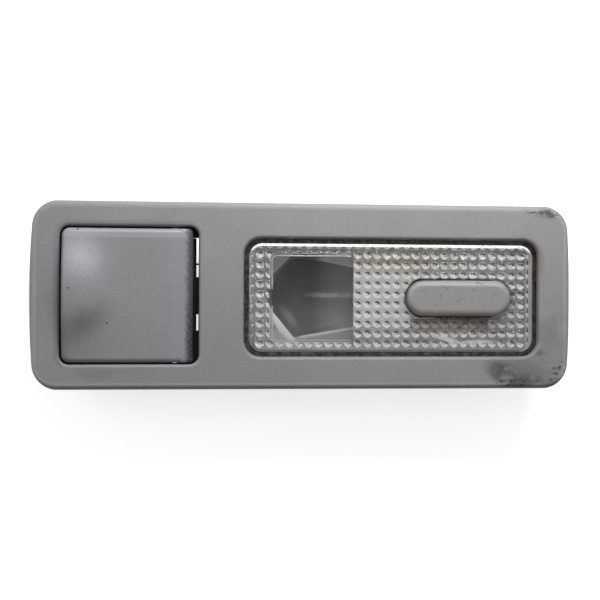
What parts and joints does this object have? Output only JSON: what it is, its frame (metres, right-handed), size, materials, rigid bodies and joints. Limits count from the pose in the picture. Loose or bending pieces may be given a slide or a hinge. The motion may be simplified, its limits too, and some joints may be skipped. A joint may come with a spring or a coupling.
{
  "type": "car courtesy light",
  "caption": "Car roof courtesy light: long grey bezel with a hinged access flap beside a beaded clear lens with a plain window and a rocker switch.",
  "frame": {"origin": "centre of the bezel outline in the plane of its rear rim, which seats on the headliner", "axes": "+X along the bezel from the flap towards the switch, +Y across it, +Z out of the face into the car"},
  "size_m": [0.181, 0.062, 0.0294],
  "materials": {
    "bezel_plastic": "fine grain, satin, smudged",
    "flap_plastic": "satin, worn",
    "button_plastic": "satin, scuffed",
    "clear_plastic": "clear, polished",
    "switch_plastic": "plain",
    "holder_plastic": "natural",
    "housing_plastic": "plain",
    "contact_brass": "stamped",
    "steel": "plain",
    "spring_steel": "plated",
    "reflector_coat": "metallised, dulled",
    "bulb_glass": "clear"
  },
  "bodies": {
    "frame": {"bezel": "bezel_plastic", "lens": "clear_plastic", "switch_body": "switch_plastic", "terminal_common": "contact_brass", "terminal_ground": "contact_brass", "terminal_door": "contact_brass", "terminal_supply": "contact_brass", "reflector": "reflector_coat", "bulb_glass": "bulb_glass", "bulb_filament": "steel", "bulb_holder": "holder_plastic", "lamp_housing": "housing_plastic", "spring_clip_upper": "spring_steel", "spring_clip_lower": "spring_steel", "housing_screw_1": "steel", "housing_screw_2": "steel", "housing_screw_3": "steel", "housing_screw_4": "steel"},
    "flap": {"cover_flap": "flap_plastic", "hinge_pin": "steel"},
    "rocker": {"rocker_button": "button_plastic", "plunger_spring": "spring_steel"},
    "plunger": {"switch_plunger": "holder_plastic"},
    "teeter": {"contact_teeter": "contact_brass"}
  },
  "joints": [
    {"name": "flap_hinge", "type": "hinge", "parent": "frame", "child": "flap", "pos_m": [-0.0403, 0, 0.005], "axis": [0, 1, 0], "range_deg": [0, 85]},
    {"name": "rocker_pivot", "type": "hinge", "parent": "frame", "child": "rocker", "pos_m": [0.05245, -0.0005, 0.001], "axis": [0, 1, 0], "range_deg": [0, 10]},
    {"name": "plunger_slide", "type": "slide", "parent": "rocker", "child": "plunger", "axis": [-0.0872, 0, 0.9962], "range_m": [0, 0.0005], "stiffness_N_per_m": 300, "springref_m": -0.0015},
    {"name": "teeter_pivot", "type": "hinge", "parent": "frame", "child": "teeter", "pos_m": [0.05245, -0.0005, -0.0063], "axis": [0, 1, 0], "range_deg": [-14, 0]}
  ],
  "couplings": [
    {"joint": "teeter_pivot", "follows": "rocker_pivot", "ratio": -1.4}
  ]
}
